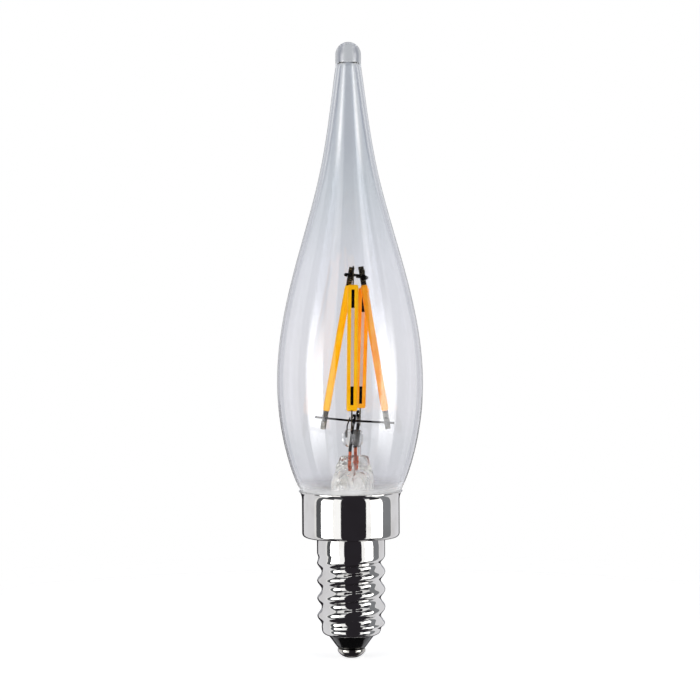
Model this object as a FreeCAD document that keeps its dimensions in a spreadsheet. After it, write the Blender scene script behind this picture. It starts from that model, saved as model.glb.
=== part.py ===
import FreeCAD, Part
import Sketcher
import math
import os

# A candle bulb with four flat light strips: a blown glass envelope on a
# rolled screw cap. Millimetres, +Z towards the tip, the origin at the
# lowest point of the centre contact, on the lamp's axis.

doc = FreeCAD.newDocument("candle_bulb")
sheet = doc.addObject("Spreadsheet::Sheet", "sizes")

SIZES = {
    # Glass envelope
    "glass_wall": 0.6,
    "cement_gap": 0.4,
    "neck_top": 21.5,
    "rim_glass_gap": 0.08,
    "waist_radius": 8.7,
    "waist_level": 28.0,
    "belly_radius": 10.16,
    "belly_level": 37.5,
    "shoulder_radius": 9.39,
    "shoulder_level": 47.0,
    "flank_radius": 6.69,
    "flank_level": 58.0,
    "throat_radius": 4.03,
    "throat_level": 68.0,
    "tip_radius": 1.75,
    "tip_level": 82.8,
    "tip_slope": 0.14,
    "drop_radius": 1.78,
    "drop_rise": 0.35,
    "overall_tall": 86.0,
    "seal_level": 18.2,
    # Screw cap, one drawn and rolled sheet
    "sheet_wall": 0.22,
    "crest_radius": 4.765,
    "thread_depth": 0.62,
    "thread_pitch": 2.49,
    "crest_start": 12.2,
    "thread_top": 14.9,
    "run_in": 1.5,
    "thread_bottom": 4.1,
    "run_out": 0.9,
    "lip_curl": 0.8,
    "collar_radius": 6.82,
    "collar_floor": 17.05,
    "collar_corner": 0.6,
    "collar_top": 22.4,
    "rim_level": 23.5,
    "rim_radius": 7.25,
    "rim_gap": 0.05,
    "flare_bulge": 0.05,
    "flare_drop": 0.02,
    # Insulator and centre contact
    "insulator_foot_radius": 1.9,
    "insulator_foot": 1.42,
    "insulator_top": 5.4,
    "seat_gap": 0.02,
    "contact_radius": 1.95,
    "contact_bottom": 0.12,
    "contact_edge": 1.2,
    "contact_rise": 0.88,
    "contact_dome": 2.0,
    "shank_radius": 0.95,
    "shank_top": 5.0,
    "lead_bore": 0.4,
    "plug_deep": 0.5,
    # Glass stem
    "stem_wall": 0.55,
    "flare_thick": 0.6,
    "flare_rise": 3.3,
    "tube_radius": 3.05,
    "bend_rise": 1.6,
    "tube_long": 4.0,
    "tube_top_across": 2.8,
    "tube_top_deep": 2.68,
    "tube_shift": 0.35,
    "hollow_rise": 0.8,
    "hollow_end_across": 0.8,
    "hollow_end_deep": 0.56,
    "hollow_end_shift": 0.42,
    "press_rise": 1.5,
    "press_foot_across": 2.4,
    "press_foot_deep": 1.38,
    "press_foot_shift": 0.49,
    "press_tall": 0.7,
    "press_across": 2.2,
    "press_deep": 1.15,
    "press_shift": 0.6,
    "press_edge": 0.9,
    "press_top_across": 1.5,
    "press_top_deep": 0.85,
    # Wires
    "lead_radius": 0.23,
    "tail_radius": 0.16,
    "cross_radius": 0.15,
    "link_radius": 0.19,
    "post_radius": 0.1,
    "seal_drop": 1.3,
    "seal_stand": 0.35,
    "front_lead_across": -0.05,
    "back_lead_across": 0.7,
    "lead_offset": 0.45,
    "front_hip_across": 0.35,
    "back_hip_across": 1.1,
    "weld_gap": 0.01,
    # Bead that ties the leads
    "bead_rise": 2.35,
    "bead_half_tall": 1.25,
    "lobe_radius": 0.86,
    "left_lobe": -0.25,
    "right_lobe": 0.95,
    "rod_radius": 0.2,
    "rod_across": 1.25,
    # Light strips
    "strip_long": 17.7,
    "strip_wide": 0.98,
    "strip_thick": 1.5,
    "strip_round": 0.3,
    "base_thick": 0.42,
    "end_cap": 0.75,
    "clip_wide": 1.0,
    "clip_long": 2.6,
    "tongue_wide": 0.6,
    "tongue_long": 1.7,
    "tab_wide": 0.76,
    "tab_thick": 0.2,
    "tab_long": 2.6,
    "strip_rise": 3.8,
    "front_lift": 0.3,
    "left_foot_across": 3.36,
    "left_head_across": -0.12,
    "right_foot_across": 4.86,
    "right_head_across": 2.0,
    "front_foot_across": 0.22,
    "front_head_across": 0.5,
    "back_foot_across": 1.45,
    "back_head_across": 2.0,
    "front_lean_angle": 13.5,
    "back_lean_angle": 15.8,
    "strip_clear": 0.12,
    # Welds and bends of the mount's wires
    "weld_start": 0.45,
    "weld_end": 1.5,
    "hip_rise": 1.8,
    "lead_bend": 0.5,
    "joint_straight": 0.3,
    "cross_drop_left": 1.0,
    "cross_drop_right": 1.75,
    "cross_stick_left": 1.4,
    "cross_stick_right": 1.0,
    "cross_rise": 0.1,
    "cross_sink": 0.05,
    "cross_sag": 0.03,
    "cross_kink": -0.3,
    "cross_bend": 6.0,
    "post_foot_across": -0.45,
    "kink_rise": 1.65,
    "post_head_across": -0.02,
    "head_rise": 2.85,
    "post_bend": 1.0,
    "link_left": 1.5,
    "link_right": 1.1,
    "link_start": 0.55,
    "link_end": 0.9,
    "link_tilt": 0.1,
    "link_bend": 0.3,
    "link_clear": 0.06,
    # Driver inside the cap, and its wires
    "board_side": 0.72,
    "board_thick": 0.8,
    "board_rise": 1.2,
    "board_clear": 0.85,
    "rectifier_side": 1.3,
    "rectifier_deep": 1.5,
    "rectifier_tall": 4.4,
    "rectifier_drop": 2.0,
    "chip_side": 1.75,
    "chip_deep": 1.2,
    "chip_tall": 2.6,
    "chip_drop": 1.4,
    "resistor_radius": 0.85,
    "resistor_long": 3.6,
    "resistor_rise": 0.8,
    "tail_spread": 1.2,
    "tail_straight": 1.2,
    "tail_clear": 1.1,
    "tail_overlap": 1.3,
    "tail_bend": 1.2,
    "supply_straight": 0.2,
    "supply_clear": 0.4,
    "shell_lead_inset": 0.9,
    "shell_lead_long": 3.0,
    "shell_lead_bend": 0.6,
    "shell_lead_drop": 0.45,
    "solder_radius": 0.45,
}

FORMULAS = {
    "root_radius": "crest_radius - thread_depth",
    "stub_bore": "crest_radius - sheet_wall",
    "root_bore": "root_radius - sheet_wall",
    "lip_mouth": "root_radius - lip_curl",
    "lip_level": "thread_bottom - lip_curl",
    "lip_inner": "lip_level + sheet_wall",
    "collar_bore": "collar_radius - sheet_wall",
    "rim_bore": "rim_radius - sheet_wall",
    "collar_inner": "collar_floor + sheet_wall",
    "corner_level": "collar_floor + collar_corner",
    "corner_radius": "collar_radius - collar_corner",
    "neck_radius": "collar_bore - cement_gap",
    "neck_bore": "neck_radius - glass_wall",
    "rim_glass_radius": "rim_bore - rim_glass_gap",
    "insulator_flange": "root_bore - seat_gap",
    "insulator_neck": "lip_mouth - seat_gap",
    "insulator_seat": "lip_inner + seat_gap",
    "insulator_curl": "lip_curl - sheet_wall - seat_gap",
    "contact_face": "contact_radius - contact_edge",
    "contact_side": "contact_bottom + contact_rise",
    "solder_top": "contact_bottom + plug_deep",
    "solder_dome": "(lead_bore * lead_bore + contact_bottom * contact_bottom) / (2 * contact_bottom)",
    "datum": "contact_bottom - contact_bottom",
    "tube_foot": "seal_level + flare_rise",
    "tube_bend": "tube_foot + bend_rise",
    "tube_top": "tube_foot + tube_long",
    "hollow_top": "tube_top + hollow_rise",
    "press_foot": "tube_top + press_rise",
    "press_shoulder": "press_foot + press_tall",
    "press_top": "press_shoulder + press_edge",
    "seal_foot": "hollow_top - seal_drop",
    "seal_head": "press_top + seal_stand",
    "bead_level": "press_top + bead_rise",
    "hip_level": "bead_level + hip_rise",
    "post_kink": "bead_level + kink_rise",
    "post_head": "bead_level + head_rise",
    "strip_foot": "bead_level + strip_rise",
    "bead_foot": "bead_level - bead_half_tall",
    "bead_head": "bead_level + bead_half_tall",
    "bead_low": "bead_foot + lobe_radius",
    "bead_high": "bead_head - lobe_radius",
    "board_wide": "2 * (root_bore - board_side)",
    "rectifier_wide": "board_wide - 2 * rectifier_side",
    "chip_wide": "board_wide - 2 * chip_side",
    "board_face": "board_thick / 2",
    "board_foot": "insulator_top + board_rise",
    "board_top": "collar_floor - board_clear",
    "board_tall": "board_top - board_foot",
    "shell_lead_level": "collar_floor - shell_lead_drop",
    "shell_lead_across": "board_wide / 2 - shell_lead_inset",
    "rectifier_foot": "board_top - rectifier_drop - rectifier_tall",
    "resistor_foot": "board_foot + resistor_rise",
    "chip_foot": "board_top - chip_drop - chip_tall",
    "base_long": "strip_long - 2 * end_cap - 2 * clip_long",
    "tongues_long": "base_long + 2 * tongue_long",
    "slot_long": "strip_long - 2 * end_cap",
    "slot_wide": "strip_wide * 2",
    "tab_reach": "end_cap + tab_long",
}

row = 1
for alias, number in SIZES.items():
    sheet.set("A%d" % row, alias.replace("_", " "))
    sheet.set("B%d" % row, str(number))
    sheet.setAlias("B%d" % row, alias)
    row += 1
for alias, formula in FORMULAS.items():
    sheet.set("A%d" % row, alias.replace("_", " "))
    sheet.set("B%d" % row, "=" + formula)
    sheet.setAlias("B%d" % row, alias)
    row += 1
doc.recompute()


def size(alias):
    return float(sheet.get(alias))


def vec(x, y, z):
    return FreeCAD.Vector(x, y, z)


def flat(r, z):
    return FreeCAD.Vector(r, 0, z)


nodes = []


def keep(shown, label):
    shown.Label = label
    nodes.append(shown)
    return shown


def plane_of(body, role):
    for feature in body.Origin.OriginFeatures:
        if feature.Role == role:
            return feature


def level(cell):
    if cell == "axis":
        return 0.0
    return size(cell)


# The middle point of an arc from first to last, which bulges to the right
# of the way it runs.
def bend_point(first, last, radius):
    half = (last - first) * 0.5
    side = vec(half.y, -half.x, 0).normalize()
    rise = radius - math.sqrt(max(radius ** 2 - half.Length ** 2, 0))
    return first + half + side * rise


# A turned piece: a closed outline in the XZ plane, anticlockwise. Each
# corner names the sheet's cells for its radius and level. A third cell is
# the radius of the outward arc that runs to the next corner.
def turned(label, corners):
    body = doc.addObject("PartDesign::Body", label + "_body")
    sketch = body.newObject("Sketcher::SketchObject", label + "_outline")
    sketch.AttachmentSupport = [(plane_of(body, "XZ_Plane"), "")]
    sketch.MapMode = "FlatFace"
    count = len(corners)
    points = [vec(level(corner[0]), level(corner[1]), 0) for corner in corners]
    ends = []
    for index in range(count):
        first = points[index]
        last = points[(index + 1) % count]
        if len(corners[index]) == 3:
            middle = bend_point(first, last, size(corners[index][2]))
            sketch.addGeometry(Part.Arc(first, middle, last), False)
        else:
            sketch.addGeometry(Part.LineSegment(first, last), False)
        if sketch.getPoint(index, 1).distanceToPoint(first) < 1e-6:
            ends.append((1, 2))
        else:
            ends.append((2, 1))
    for index in range(count):
        after = (index + 1) % count
        join = (index, ends[index][1], after, ends[after][0])
        sketch.addConstraint(Sketcher.Constraint("Coincident", *join))
    for index in range(count):
        place(sketch, "DistanceX", index, ends[index][0], corners[index][0])
        place(sketch, "DistanceY", index, ends[index][0], corners[index][1])
        if len(corners[index]) == 3:
            cell = corners[index][2]
            number = Sketcher.Constraint("Radius", index, size(cell))
            number = sketch.addConstraint(number)
            sketch.setExpression("Constraints[%d]" % number, "sizes." + cell)
    turn = body.newObject("PartDesign::Revolution", label + "_turn")
    turn.Profile = sketch
    turn.ReferenceAxis = (sketch, ["V_Axis"])
    turn.Angle = 360
    return body


def place(sketch, kind, index, end, cell):
    rule = Sketcher.Constraint(kind, -1, 1, index, end, level(cell))
    number = sketch.addConstraint(rule)
    if cell != "axis":
        sketch.setExpression("Constraints[%d]" % number, "sizes." + cell)


def ready_made(label, shape):
    made = doc.addObject("Part::Feature", label + "_form")
    made.Shape = shape
    return made


def cut(label, base, tool):
    made = doc.addObject("Part::Cut", label + "_cut")
    made.Base = base
    made.Tool = tool
    return made


def fused(label, pieces):
    made = doc.addObject("Part::MultiFuse", label + "_all")
    made.Shapes = pieces
    return made


# A block bound to the sheet, its middle at the middle of its footprint.
def block(label, wide, deep, tall, at):
    made = doc.addObject("Part::Box", label + "_block")
    made.setExpression("Length", "sizes." + wide)
    made.setExpression("Width", "sizes." + deep)
    made.setExpression("Height", "sizes." + tall)
    corner = vec(-size(wide) / 2, -size(deep) / 2, 0)
    made.Placement.Base = at + corner
    return made


def rod(label, radius, tall, at):
    made = doc.addObject("Part::Cylinder", label + "_rod")
    made.setExpression("Radius", "sizes." + radius)
    made.Height = tall
    made.Placement.Base = at
    return made


# A bent wire: straight runs joined by tangent arcs, swept with a circle.
def wire(label, radius, points, bends):
    edges = []
    start = points[0]
    for index in range(1, len(points) - 1):
        corner = points[index]
        back = (points[index - 1] - corner).normalize()
        on = (points[index + 1] - corner).normalize()
        half_angle = back.getAngle(on) / 2
        reach = bends[index - 1] / math.tan(half_angle)
        middle = (back + on).normalize()
        centre = corner + middle * (bends[index - 1] / math.sin(half_angle))
        enter = corner + back * reach
        leave = corner + on * reach
        top = centre - middle * bends[index - 1]
        edges.append(Part.LineSegment(start, enter).toShape())
        edges.append(Part.Arc(enter, top, leave).toShape())
        start = leave
    edges.append(Part.LineSegment(start, points[-1]).toShape())
    route = ready_made(label + "_route", Part.Wire(edges))
    ring = doc.addObject("Part::Circle", label + "_ring")
    ring.setExpression("Radius", "sizes." + radius)
    turn = FreeCAD.Rotation(vec(0, 0, 1), points[1] - points[0])
    ring.Placement = FreeCAD.Placement(points[0], turn)
    made = doc.addObject("Part::Sweep", label + "_sweep")
    made.Sections = [ring]
    names = ["Edge%d" % (index + 1) for index in range(len(edges))]
    made.Spine = (route, names)
    made.Solid = True
    made.Frenet = False
    return made


# Glass envelope: one blown piece with the drop of its sealed tip. The
# inside follows the outside one wall in.
inner_steps = 18
outline = [
    flat(size("neck_radius"), size("neck_top")),
    flat(size("rim_glass_radius"), size("rim_level") - size("rim_gap")),
    flat(size("waist_radius"), size("waist_level")),
    flat(size("belly_radius"), size("belly_level")),
    flat(size("shoulder_radius"), size("shoulder_level")),
    flat(size("flank_radius"), size("flank_level")),
    flat(size("throat_radius"), size("throat_level")),
    flat(size("tip_radius"), size("tip_level")),
]
outside = Part.BSplineCurve()
tip_slope = vec(-size("tip_slope"), 0, 1)
outside.interpolate(Points=outline, InitialTangent=vec(0, 0, 1), FinalTangent=tip_slope)
inner_points = []
for step in range(inner_steps + 1):
    span = outside.LastParameter - outside.FirstParameter
    at = outside.FirstParameter + span * step / inner_steps
    along = outside.tangent(at)[0]
    inward = vec(-along.z, 0, along.x)
    inner_points.append(outside.value(at) + inward * size("glass_wall"))
inside = Part.BSplineCurve()
inside.interpolate(Points=inner_points, InitialTangent=vec(0, 0, 1), FinalTangent=tip_slope)

drop_foot = size("tip_level") + size("drop_rise")
drop_centre = size("overall_tall") - size("drop_radius")
drop_side = flat(size("drop_radius") * math.sqrt(0.5), drop_centre + size("drop_radius") * math.sqrt(0.5))
glass_edges = [
    Part.LineSegment(flat(size("neck_bore"), size("seal_level")), flat(size("neck_radius"), size("seal_level"))),
    Part.LineSegment(flat(size("neck_radius"), size("seal_level")), outline[0]),
    outside,
    Part.LineSegment(outline[-1], flat(size("drop_radius"), drop_foot)),
    Part.LineSegment(flat(size("drop_radius"), drop_foot), flat(size("drop_radius"), drop_centre)),
    Part.Arc(flat(size("drop_radius"), drop_centre), drop_side, flat(0, size("overall_tall"))),
    Part.LineSegment(flat(0, size("overall_tall")), flat(0, inner_points[-1].z)),
    Part.LineSegment(flat(0, inner_points[-1].z), inner_points[-1]),
    inside,
    Part.LineSegment(inner_points[0], flat(size("neck_bore"), size("seal_level"))),
]
glass_section = Part.Face(Part.Wire([edge.toShape() for edge in glass_edges]))
section = ready_made("glass_section", glass_section)
envelope = doc.addObject("Part::Revolution", "envelope_turn")
envelope.Source = section
envelope.Axis = vec(0, 0, 1)
envelope.Base = vec(0, 0, 0)
envelope.Angle = 360
envelope.Solid = True
keep(envelope, "glass_envelope")


# Screw cap: the sheet is drawn to the cup, stepped, then rolled so that
# inside and outside carry the same round thread. The groove grows out of
# the plain stub and stays open at the bottom, above the curled lip.
def ease(share):
    share = min(max(share, 0), 1)
    return share * share * (3 - 2 * share)


def thread_radius(angle, z, crest):
    phase = 2 * math.pi * (z - size("crest_start")) / size("thread_pitch") - angle
    wave = (1 - math.cos(phase)) / 2
    open_end = 1 - ease((z - size("thread_bottom")) / size("run_out"))
    wave = wave + (1 - wave) * open_end
    grown = ease((size("thread_top") - z) / size("run_in"))
    return crest - size("thread_depth") * wave * grown


# The thread's face for one side of the sheet: closed curves round the
# axis, evenly spaced, through points that the formula gives.
def thread_face(crest):
    around = 24
    tall = size("thread_top") - size("thread_bottom")
    steps = int(round(tall / size("thread_pitch") * 12))
    shares = [step / steps for step in range(steps + 1)]
    swell = 3 / (2 + math.cos(2 * math.pi / around))
    columns = []
    for index in range(around):
        angle = 2 * math.pi * (index - 1) / around
        points = []
        for share in shares:
            z = size("thread_bottom") + tall * share
            radius = thread_radius(angle, z, crest) * swell
            points.append(vec(radius * math.cos(angle), radius * math.sin(angle), z))
        column = Part.BSplineCurve()
        column.interpolate(Points=points, Parameters=shares)
        columns.append(column)
    poles = [column.getPoles() for column in columns]
    turns = [float(index) for index in range(around + 1)]
    face = Part.BSplineSurface()
    face.buildFromPolesMultsKnots(
        poles, [1] * (around + 1), columns[0].getMultiplicities(),
        turns, columns[0].getKnots(), True, False, 3, 3)
    return face.toShape().Faces[0]


# Faces turned about the axis from a chain of lines and arcs.
def turned_faces(chain):
    faces = []
    for edge in chain:
        faces += edge.toShape().revolve(vec(0, 0, 0), vec(0, 0, 1), 360).Faces
    return faces


def line(first, last):
    return Part.LineSegment(first, last)


# A quarter circle about a centre, from one compass angle to another.
def quarter(centre, radius, start, end):
    middle = (start + end) / 2
    points = []
    for angle in (start, middle, end):
        turn = math.radians(angle)
        points.append(centre + flat(radius * math.cos(turn), radius * math.sin(turn)))
    return Part.Arc(*points)


# The rim flares from the collar in one hollow arc.
def flare(foot, top):
    middle = (foot + top) * 0.5
    return Part.Arc(foot, middle + flat(-size("flare_bulge"), size("flare_drop")), top)


corner = flat(size("corner_radius"), size("corner_level"))
curl = flat(size("lip_mouth"), size("thread_bottom"))
wall = size("sheet_wall")
outer_chain = [
    line(flat(size("crest_radius"), size("thread_top")), flat(size("crest_radius"), size("collar_floor"))),
    line(flat(size("crest_radius"), size("collar_floor")), flat(corner.x, size("collar_floor"))),
    quarter(corner, size("collar_corner"), -90, 0),
    line(flat(size("collar_radius"), corner.z), flat(size("collar_radius"), size("collar_top"))),
    flare(flat(size("collar_radius"), size("collar_top")), flat(size("rim_radius"), size("rim_level"))),
    line(flat(size("rim_radius"), size("rim_level")), flat(size("rim_bore"), size("rim_level"))),
]
inner_chain = [
    flare(flat(size("collar_bore"), size("collar_top")), flat(size("rim_bore"), size("rim_level"))),
    line(flat(size("collar_bore"), size("collar_top")), flat(size("collar_bore"), corner.z)),
    quarter(corner, size("collar_corner") - wall, 0, -90),
    line(flat(corner.x, size("collar_inner")), flat(size("stub_bore"), size("collar_inner"))),
    line(flat(size("stub_bore"), size("collar_inner")), flat(size("stub_bore"), size("thread_top"))),
]
lip_chain = [
    quarter(curl, size("lip_curl"), 0, -90),
    line(flat(size("lip_mouth"), size("lip_level")), flat(size("lip_mouth"), size("lip_inner"))),
    quarter(curl, size("lip_curl") - wall, -90, 0),
]


def solid_of(faces):
    skin = Part.makeCompound(faces)
    skin.sewShape(0.001)
    made = Part.Solid(Part.Shell(skin.Faces))
    if made.Volume < 0:
        made.reverse()
    return made


def end_of(face, z):
    for edge in face.Edges:
        if abs(edge.BoundBox.ZMin - z) < 0.001 and abs(edge.BoundBox.ZMax - z) < 0.001:
            return Part.Wire([edge])


def end_ring(outer, inner, z):
    ring = Part.Face([end_of(outer, z), end_of(inner, z)])
    ring.validate()
    return ring


top_seam = line(flat(size("stub_bore"), size("thread_top")), flat(size("crest_radius"), size("thread_top")))
low_seam = line(flat(size("root_radius"), size("thread_bottom")), flat(size("root_bore"), size("thread_bottom")))
drawn_cup = solid_of(turned_faces(outer_chain + inner_chain + [top_seam]))
curled_lip = solid_of(turned_faces(lip_chain + [low_seam]))
outer_thread = thread_face(size("crest_radius"))
inner_thread = thread_face(size("stub_bore"))
top_ring = end_ring(outer_thread, inner_thread, size("thread_top"))
low_ring = end_ring(outer_thread, inner_thread, size("thread_bottom"))
rolled_wall = solid_of([outer_thread, inner_thread, top_ring, low_ring])
cap_solid = drawn_cup.fuse([rolled_wall, curled_lip], 0.002).Solids[0]
keep(ready_made("screw_shell", cap_solid), "screw_shell")


# Insulator: a cone of black glass that fills the mouth of the cap. Its
# flange lies on the curled lip, inside the threaded wall.
insulator = turned("insulator", [
    ("shank_radius", "insulator_foot"),
    ("insulator_foot_radius", "insulator_foot"),
    ("insulator_neck", "lip_level"),
    ("insulator_neck", "insulator_seat", "insulator_curl"),
    ("insulator_flange", "thread_bottom"),
    ("insulator_flange", "insulator_top"),
    ("shank_radius", "insulator_top"),
])
keep(insulator, "insulator")


# Centre contact: a hollow rivet through the insulator, soldered below.
contact = turned("centre_contact", [
    ("lead_bore", "contact_bottom"),
    ("contact_face", "contact_bottom", "contact_dome"),
    ("contact_radius", "contact_side"),
    ("contact_radius", "insulator_foot"),
    ("shank_radius", "insulator_foot"),
    ("shank_radius", "shank_top"),
    ("lead_bore", "shank_top"),
])
keep(contact, "centre_contact")

plug = turned("contact_solder", [
    ("axis", "datum", "solder_dome"),
    ("lead_bore", "contact_bottom"),
    ("lead_bore", "solder_top"),
    ("axis", "solder_top"),
])
keep(plug, "contact_solder")


# Cement between the neck and the collar.
cement = turned("capping_cement", [
    ("neck_radius", "seal_level"),
    ("collar_bore", "seal_level"),
    ("collar_bore", "collar_top"),
    ("neck_radius", "neck_top"),
])
keep(cement, "capping_cement")


# Stem: the flare that closes the neck, its tube and the flattened press
# that the leads are sealed in. The tube stands a little off the axis.
def oval(across, deep, shift, z):
    points = []
    for index in range(12):
        turn = 2 * math.pi * index / 12
        points.append(vec(shift + across * math.cos(turn), deep * math.sin(turn), z))
    ring = Part.BSplineCurve()
    ring.interpolate(Points=points, PeriodicFlag=True)
    return Part.Wire([ring.toShape()])


def tube_rings(wall):
    radius = size("tube_radius") - wall
    return [
        oval(radius, radius, 0, size("tube_foot")),
        oval(radius, radius, size("tube_shift") / 2, size("tube_bend")),
        oval(size("tube_top_across") - wall, size("tube_top_deep") - wall, size("tube_shift"), size("tube_top")),
    ]


def named_oval(name, shift, level_name):
    return oval(size(name + "_across"), size(name + "_deep"), size(shift), size(level_name))


tube_shape = tube_rings(0) + [
    named_oval("press_foot", "press_foot_shift", "press_foot"),
    named_oval("press", "press_shift", "press_shoulder"),
    named_oval("press_top", "press_shift", "press_top"),
]
tube_hollow = tube_rings(size("stem_wall")) + [
    named_oval("hollow_end", "hollow_end_shift", "hollow_top"),
]

skirt_foot = size("seal_level") - size("flare_thick")


# One side of the flare: an arc that leaves the tube's wall upright and
# ends at the neck.
def flare_arc(radius, foot):
    across = size("neck_bore") - radius
    rise = size("tube_foot") - foot
    bend = (across ** 2 + rise ** 2) / (2 * across)
    reach = math.degrees(math.asin(rise / bend))
    return quarter(flat(radius + bend, size("tube_foot")), bend, 180 + reach, 180)


bulb_side = flare_arc(size("tube_radius"), size("seal_level"))
air_side = flare_arc(size("tube_radius") - size("stem_wall"), skirt_foot)
skirt_edges = [
    air_side,
    line(air_side.StartPoint, flat(size("neck_radius"), skirt_foot)),
    line(flat(size("neck_radius"), skirt_foot), flat(size("neck_radius"), size("seal_level"))),
    line(flat(size("neck_radius"), size("seal_level")), bulb_side.StartPoint),
    bulb_side,
    line(bulb_side.EndPoint, air_side.EndPoint),
]
skirt_section = Part.Face(Part.Wire([edge.toShape() for edge in skirt_edges]))
skirt = skirt_section.revolve(vec(0, 0, 0), vec(0, 0, 1), 360)
tube = Part.makeLoft(tube_shape, True).cut(Part.makeLoft(tube_hollow, True))
stem_blank = ready_made("stem_blank", skirt.fuse([tube], 0.002).Solids[0])

front_seal_at = vec(size("front_lead_across"), -size("lead_offset"), size("seal_foot"))
back_seal_at = vec(size("back_lead_across"), size("lead_offset"), size("seal_foot"))
seal_long = size("seal_head") - size("seal_foot")
front_seal = rod("seal_wire_front", "lead_radius", seal_long, front_seal_at)
back_seal = rod("seal_wire_back", "lead_radius", seal_long, back_seal_at)
keep(front_seal, "seal_wire_front")
keep(back_seal, "seal_wire_back")
seal_holes = []
for name, at in (("front", front_seal_at), ("back", back_seal_at)):
    seal_holes.append(rod("seal_hole_" + name, "lead_radius", seal_long, at))
stem = cut("stem", stem_blank, fused("seal_holes", seal_holes))
keep(stem, "stem")


# Light strips. Each is made upright at the origin: a translucent base, a
# forked metal clip on each of its ends, and the coat over both faces and
# round the ends. The clips' tabs stand out of the coat at both ends.
def strip_base(name):
    foot = size("end_cap") + size("clip_long")
    plate = block(name + "_plate", "strip_wide", "base_thick", "base_long", vec(0, 0, foot))
    tongue_foot = foot - size("tongue_long")
    tongue = block(name + "_tongue", "tongue_wide", "base_thick", "tongues_long", vec(0, 0, tongue_foot))
    return fused(name, [plate, tongue])


def strip_clip(name):
    head = block(name + "_head", "clip_wide", "base_thick", "clip_long", vec(0, 0, size("end_cap")))
    slot_foot = size("end_cap") + size("clip_long") - size("tongue_long")
    slot = block(name + "_slot", "tongue_wide", "base_thick", "tongue_long", vec(0, 0, slot_foot))
    fork = cut(name + "_fork", head, slot)
    tab = block(name + "_tab", "tab_wide", "tab_thick", "tab_reach", vec(0, 0, -size("tab_long")))
    return fused(name, [fork, tab])


def strip_coat(name):
    bar = block(name + "_bar", "strip_wide", "strip_thick", "strip_long", vec(0, 0, 0))
    doc.recompute()
    rounded = doc.addObject("Part::Fillet", name + "_rounded")
    rounded.Base = bar
    radius = size("strip_round")
    rounded.Edges = [(number + 1, radius, radius) for number in range(len(bar.Shape.Edges))]
    slot = block(name + "_slot", "slot_wide", "base_thick", "slot_long", vec(0, 0, size("end_cap")))
    throat = block(name + "_throat", "tab_wide", "tab_thick", "strip_long", vec(0, 0, 0))
    return cut(name, rounded, fused(name + "_core", [slot, throat]))


def strip_place(foot, head, facing, lift=0):
    rise = size("strip_long") ** 2 - (head.x - foot.x) ** 2 - (head.y - foot.y) ** 2
    along = vec(head.x - foot.x, head.y - foot.y, math.sqrt(rise)).normalize()
    face = (facing - along * facing.dot(along)).normalize()
    turn = FreeCAD.Rotation(face.cross(along), face, along, "ZXY")
    return FreeCAD.Placement(vec(foot.x, foot.y, size("strip_foot") + lift), turn)


head_reach = size("strip_thick") / 2 + size("clip_wide") / 2 + size("strip_clear")
front_reach = head_reach + size("strip_long") * math.sin(math.radians(size("front_lean_angle")))
back_reach = head_reach + size("strip_long") * math.sin(math.radians(size("back_lean_angle")))
strips = {
    "left": strip_place(
        vec(-size("left_foot_across"), 0, 0), vec(size("left_head_across"), 0, 0), vec(0, -1, 0)),
    "right": strip_place(
        vec(size("right_foot_across"), 0, 0), vec(size("right_head_across"), 0, 0), vec(0, -1, 0)),
    "front": strip_place(
        vec(size("front_foot_across"), -front_reach, 0),
        vec(size("front_head_across"), -head_reach, 0), vec(1, 0, 0), size("front_lift")),
    "back": strip_place(
        vec(size("back_foot_across"), back_reach, 0),
        vec(size("back_head_across"), head_reach, 0), vec(-1, 0, 0)),
}
for side, spot in strips.items():
    coat = strip_coat("coat_" + side)
    base = strip_base("base_" + side)
    lower = strip_clip("lower_clip_" + side)
    upper = strip_clip("upper_clip_" + side)
    flip = FreeCAD.Placement(vec(0, 0, size("strip_long")), FreeCAD.Rotation(vec(0, 1, 0), 180))
    coat.Placement = spot
    base.Placement = spot
    lower.Placement = spot
    upper.Placement = spot * flip
    keep(coat, "coat_" + side)
    keep(base, "base_" + side)
    keep(lower, "lower_clip_" + side)
    keep(upper, "upper_clip_" + side)


# Wires of the mount. The leads are welded beside the lower tabs of the
# front and back strips and run down through the bead to the seal wires.
def lead_points(side, hip_across, across, offset):
    beside = size("tab_thick") / 2 + size("lead_radius") + size("weld_gap")
    weld = strips[side].multVec(vec(0, beside, -size("weld_start")))
    knee = strips[side].multVec(vec(0, beside, -size("weld_end")))
    hip = vec(hip_across, offset, size("hip_level"))
    ankle = vec(across, offset, size("seal_head") + size("joint_straight"))
    return [weld, knee, hip, ankle, vec(across, offset, size("seal_head"))]


lead_bend = [size("lead_bend"), size("lead_bend"), 2 * size("lead_bend")]
front_points = lead_points(
    "front", size("front_hip_across"), size("front_lead_across"), -size("lead_offset"))
back_points = lead_points(
    "back", size("back_hip_across"), size("back_lead_across"), size("lead_offset"))
front_lead = wire("lead_front", "lead_radius", front_points, lead_bend)
back_lead = wire("lead_back", "lead_radius", back_points, lead_bend)
keep(front_lead, "lead_front")
keep(back_lead, "lead_back")

# The cross wire joins the lower tabs of the left and right strips.
behind = size("tab_thick") / 2 + size("cross_radius") + size("weld_gap")
left_tab = strips["left"].multVec(vec(0, 0, -size("cross_drop_left")))
right_tab = strips["right"].multVec(vec(0, 0, -size("cross_drop_right")))
middle_level = (left_tab.z + right_tab.z) / 2 - size("cross_sag")
cross_points = [
    vec(left_tab.x - size("cross_stick_left"), behind, left_tab.z + size("cross_rise")),
    vec(size("cross_kink"), behind, middle_level),
    vec(right_tab.x + size("cross_stick_right"), behind, right_tab.z - size("cross_sink")),
]
cross_wire = wire("cross_wire", "cross_radius", cross_points, [size("cross_bend")])
keep(cross_wire, "cross_wire")

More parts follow.
